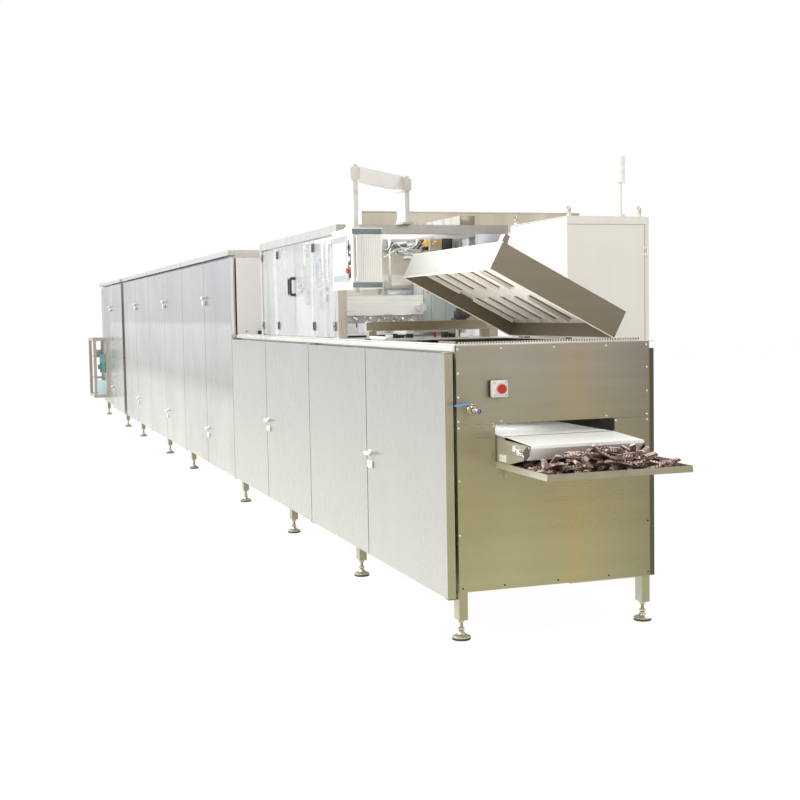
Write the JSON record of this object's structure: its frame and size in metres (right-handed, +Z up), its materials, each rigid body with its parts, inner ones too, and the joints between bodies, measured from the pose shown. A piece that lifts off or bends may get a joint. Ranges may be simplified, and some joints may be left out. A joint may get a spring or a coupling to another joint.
{
  "type": "chocolate moulding line",
  "caption": "Stainless chocolate moulding line: belt-fed output tray, hinged demoulding lid, guarded depositor with swing-arm controls, and tall cooling units with swing doors.",
  "frame": {"origin": "middle of the line's bounding box on the floor", "axes": "+X along the line towards the receiving tray, +Y away from the door side, +Z up"},
  "size_m": [14.567, 2.02, 2.188],
  "materials": {
    "brushed_stainless_door": "brushed stainless, horizontal grain",
    "brushed_stainless_panel": "brushed stainless, vertical grain, warm reflection",
    "frame_steel": "satin stainless tube",
    "zinc_steel": "zinc plated",
    "foot_rubber": "matt black",
    "roof_steel": "satin stainless",
    "tunnel_steel": "satin stainless",
    "conveyor_steel": "satin stainless",
    "belt_white": "white coated belt",
    "chocolate": "satin dark chocolate",
    "stop_housing": "light grey plastic",
    "stop_red": "glossy red plastic",
    "valve_metal": "nickel plated brass",
    "lever_blue": "blue vinyl sleeve",
    "lid_steel": "brushed stainless",
    "mould_plastic": "clear to white polycarbonate",
    "chain_steel": "oiled steel",
    "guard_steel": "brushed stainless tube",
    "clear_acrylic": "clear acrylic",
    "hopper_steel": "satin stainless, chocolate dusted",
    "depositor_steel": "machined stainless",
    "hmi_enclosure": "brushed stainless enclosure",
    "button_white": "white plastic",
    "knob_black": "black plastic",
    "cabinet_paint": "ivory powder coat",
    "duct_steel": "satin stainless",
    "drive_frame": "satin stainless tube",
    "motor_teal": "teal gear motor paint",
    "latch_metal": "polished die cast"
  },
  "bodies": {
    "line": {"air_valve": "valve_metal", "base_frame": "frame_steel", "chocolate_heap": "chocolate", "conveyor_belt": "belt_white", "conveyor_frame": "conveyor_steel", "cooling_tunnel": "tunnel_steel", "cross_channel": "guard_steel", "depositor_body": "depositor_steel", "depositor_hopper": "hopper_steel", "drive_guard": "drive_frame", "electrical_cabinet": "cabinet_paint", "estop_box": "stop_housing", "foot_pads": "foot_rubber", "front_panel_lower": "brushed_stainless_panel", "front_panel_upper": "brushed_stainless_panel", "gear_motor": "motor_teal", "guard_clear_panels": "clear_acrylic", "guard_frame": "guard_steel", "levelling_feet": "zinc_steel", "mould_chain": "chain_steel", "moulds": "mould_plastic", "overhead_ducts": "duct_steel", "receiving_tray": "conveyor_steel", "roof_caps": "roof_steel", "side_and_floor_panels": "brushed_stainless_panel", "top_deck": "conveyor_steel"},
    "conveyor_drive_roller": {"conveyor_drive_roller": "conveyor_steel"},
    "chain_shaft": {"chain_shaft": "chain_steel"},
    "lid": {"lid_shell": "lid_steel", "lid_baffle": "lid_steel"},
    "estop_button": {"estop_button": "stop_red"},
    "air_valve_lever": {"air_valve_lever": "lever_blue"},
    "guard_leaf_1": {"guard_leaf_1": "clear_acrylic"},
    "guard_leaf_2": {"guard_leaf_2": "clear_acrylic"},
    "guard_leaf_4": {"guard_leaf_4": "clear_acrylic"},
    "guard_leaf_3": {"guard_leaf_3": "clear_acrylic"},
    "depositor_nozzle_bar": {"depositor_nozzle_bar": "depositor_steel"},
    "hmi_arm": {"hmi_arm": "hmi_enclosure"},
    "hmi_box": {"hmi_box": "hmi_enclosure"},
    "hmi_start_button": {"hmi_start_button": "button_white"},
    "hmi_stop_button": {"hmi_stop_button": "stop_red"},
    "hmi_selector_knob": {"hmi_selector_knob": "knob_black"},
    "electrical_cabinet_door": {"electrical_cabinet_door": "cabinet_paint"},
    "low_door_1": {"low_door_1": "brushed_stainless_door"},
    "latch_low_door_1": {"latch_low_door_1": "latch_metal"},
    "low_door_2": {"low_door_2": "brushed_stainless_door"},
    "low_door_3": {"low_door_3": "brushed_stainless_door"},
    "latch_low_door_3": {"latch_low_door_3": "latch_metal"},
    "low_door_4": {"low_door_4": "brushed_stainless_door"},
    "tall_door_1": {"tall_door_1": "brushed_stainless_door"},
    "latch_tall_door_1": {"latch_tall_door_1": "latch_metal"},
    "tall_door_2": {"tall_door_2": "brushed_stainless_door"},
    "tall_door_3": {"tall_door_3": "brushed_stainless_door"},
    "latch_tall_door_3": {"latch_tall_door_3": "latch_metal"},
    "tall_door_4": {"tall_door_4": "brushed_stainless_door"},
    "tall_door_5": {"tall_door_5": "brushed_stainless_door"},
    "latch_tall_door_5": {"latch_tall_door_5": "latch_metal"},
    "tall_door_6": {"tall_door_6": "brushed_stainless_door"},
    "end_door": {"end_door": "brushed_stainless_door"},
    "latch_end_door": {"latch_end_door": "latch_metal"}
  },
  "joints": [
    {"name": "drive_roller_spin", "type": "hinge", "parent": "line", "child": "conveyor_drive_roller", "pos_m": [5.9605, -0.323, 0.8347], "axis": [0, 1, 0], "continuous": true},
    {"name": "chain_shaft_spin", "type": "hinge", "parent": "line", "child": "chain_shaft", "pos_m": [6.5665, -0.305, 1.1297], "axis": [0, 1, 0], "continuous": true},
    {"name": "lid_hinge", "type": "hinge", "parent": "line", "child": "lid", "pos_m": [6.1015, 0.042, 1.272], "axis": [-1, 0, 0], "range_deg": [-27.5, 57.5]},
    {"name": "estop_button_slide", "type": "slide", "parent": "line", "child": "estop_button", "axis": [-1, 0, 0], "range_m": [0, 0.006], "stiffness_N_per_m": 1500},
    {"name": "air_valve_lever_turn", "type": "hinge", "parent": "line", "child": "air_valve_lever", "pos_m": [6.8225, -0.702, 1.013], "axis": [0, 0, 1], "range_deg": [0, 90]},
    {"name": "guard_leaf_1_hinge", "type": "hinge", "parent": "line", "child": "guard_leaf_1", "pos_m": [4.9665, -0.774, 1.558], "axis": [0, 0, 1], "range_deg": [0, 80]},
    {"name": "guard_leaf_2_fold", "type": "hinge", "parent": "guard_leaf_1", "child": "guard_leaf_2", "pos_m": [4.5215, -0.758, 1.558], "axis": [0, 0, 1], "range_deg": [-160, 0]},
    {"name": "guard_leaf_4_hinge", "type": "hinge", "parent": "line", "child": "guard_leaf_4", "pos_m": [3.1865, -0.774, 1.558], "axis": [0, 0, -1], "range_deg": [0, 80]},
    {"name": "guard_leaf_3_fold", "type": "hinge", "parent": "guard_leaf_4", "child": "guard_leaf_3", "pos_m": [3.6315, -0.758, 1.558], "axis": [0, 0, -1], "range_deg": [-160, 0]},
    {"name": "depositor_nozzle_bar_slide", "type": "slide", "parent": "line", "child": "depositor_nozzle_bar", "axis": [0, 0, 1], "range_m": [-0.04, 0.028]},
    {"name": "hmi_arm_swing", "type": "hinge", "parent": "line", "child": "hmi_arm", "pos_m": [5.0065, -0.374, 2.085], "axis": [0, 0, 1], "range_deg": [-60, 8]},
    {"name": "hmi_box_swivel", "type": "hinge", "parent": "hmi_arm", "child": "hmi_box", "pos_m": [5.4865, -0.819, 2.085], "axis": [0, 0, 1], "range_deg": [-90, 90]},
    {"name": "hmi_start_button_slide", "type": "slide", "parent": "hmi_box", "child": "hmi_start_button", "axis": [0, 1, 0], "range_m": [0, 0.004], "stiffness_N_per_m": 600},
    {"name": "hmi_stop_button_slide", "type": "slide", "parent": "hmi_box", "child": "hmi_stop_button", "axis": [0, 1, 0], "range_m": [0, 0.004], "stiffness_N_per_m": 600},
    {"name": "hmi_selector_knob_turn", "type": "hinge", "parent": "hmi_box", "child": "hmi_selector_knob", "pos_m": [5.6245, -0.875, 1.738], "axis": [0, -1, 0], "range_deg": [-45, 45]},
    {"name": "electrical_cabinet_door_hinge", "type": "hinge", "parent": "line", "child": "electrical_cabinet_door", "pos_m": [5.9325, 0.64, 0.94], "axis": [0, 0, -1], "range_deg": [0, 110]},
    {"name": "low_door_1_hinge", "type": "hinge", "parent": "line", "child": "low_door_1", "pos_m": [6.7645, -0.807, 0.708], "axis": [0, 0, 1], "range_deg": [0, 85]},
    {"name": "latch_low_door_1_turn", "type": "hinge", "parent": "low_door_1", "child": "latch_low_door_1", "pos_m": [5.7055, -0.815, 0.71], "axis": [0, 1, 0], "range_deg": [0, 90]},
    {"name": "low_door_2_hinge", "type": "hinge", "parent": "line", "child": "low_door_2", "pos_m": [4.5485, -0.807, 0.708], "axis": [0, 0, -1], "range_deg": [0, 85]},
    {"name": "low_door_3_hinge", "type": "hinge", "parent": "line", "child": "low_door_3", "pos_m": [4.5245, -0.807, 0.708], "axis": [0, 0, 1], "range_deg": [0, 85]},
    {"name": "latch_low_door_3_turn", "type": "hinge", "parent": "low_door_3", "child": "latch_low_door_3", "pos_m": [3.4655, -0.815, 0.71], "axis": [0, 1, 0], "range_deg": [0, 90]},
    {"name": "low_door_4_hinge", "type": "hinge", "parent": "line", "child": "low_door_4", "pos_m": [2.3085, -0.807, 0.708], "axis": [0, 0, -1], "range_deg": [0, 85]},
    {"name": "tall_door_1_hinge", "type": "hinge", "parent": "line", "child": "tall_door_1", "pos_m": [2.2845, -0.807, 1.0125], "axis": [0, 0, 1], "range_deg": [0, 85]},
    {"name": "latch_tall_door_1_turn", "type": "hinge", "parent": "tall_door_1", "child": "latch_tall_door_1", "pos_m": [1.2255, -0.815, 0.478], "axis": [0, 1, 0], "range_deg": [0, 90]},
    {"name": "tall_door_2_hinge", "type": "hinge", "parent": "line", "child": "tall_door_2", "pos_m": [0.0685, -0.807, 1.0125], "axis": [0, 0, -1], "range_deg": [0, 85]},
    {"name": "tall_door_3_hinge", "type": "hinge", "parent": "line", "child": "tall_door_3", "pos_m": [0.0445, -0.807, 1.0125], "axis": [0, 0, 1], "range_deg": [0, 85]},
    {"name": "latch_tall_door_3_turn", "type": "hinge", "parent": "tall_door_3", "child": "latch_tall_door_3", "pos_m": [-1.0145, -0.815, 0.478], "axis": [0, 1, 0], "range_deg": [0, 90]},
    {"name": "tall_door_4_hinge", "type": "hinge", "parent": "line", "child": "tall_door_4", "pos_m": [-2.1715, -0.807, 1.0125], "axis": [0, 0, -1], "range_deg": [0, 85]},
    {"name": "tall_door_5_hinge", "type": "hinge", "parent": "line", "child": "tall_door_5", "pos_m": [-2.1955, -0.807, 1.0125], "axis": [0, 0, 1], "range_deg": [0, 85]},
    {"name": "latch_tall_door_5_turn", "type": "hinge", "parent": "tall_door_5", "child": "latch_tall_door_5", "pos_m": [-3.2545, -0.815, 0.478], "axis": [0, 1, 0], "range_deg": [0, 90]},
    {"name": "tall_door_6_hinge", "type": "hinge", "parent": "line", "child": "tall_door_6", "pos_m": [-4.4115, -0.807, 1.0125], "axis": [0, 0, -1], "range_deg": [0, 85]},
    {"name": "end_door_hinge", "type": "hinge", "parent": "line", "child": "end_door", "pos_m": [-4.6955, -0.807, 1.0125], "axis": [0, 0, 1], "range_deg": [0, 85]},
    {"name": "latch_end_door_turn", "type": "hinge", "parent": "end_door", "child": "latch_end_door", "pos_m": [-5.9245, -0.815, 0.478], "axis": [0, 1, 0], "range_deg": [0, 90]}
  ],
  "couplings": [
    {"joint": "guard_leaf_2_fold", "follows": "guard_leaf_1_hinge", "ratio": -2},
    {"joint": "guard_leaf_3_fold", "follows": "guard_leaf_4_hinge", "ratio": -2}
  ]
}
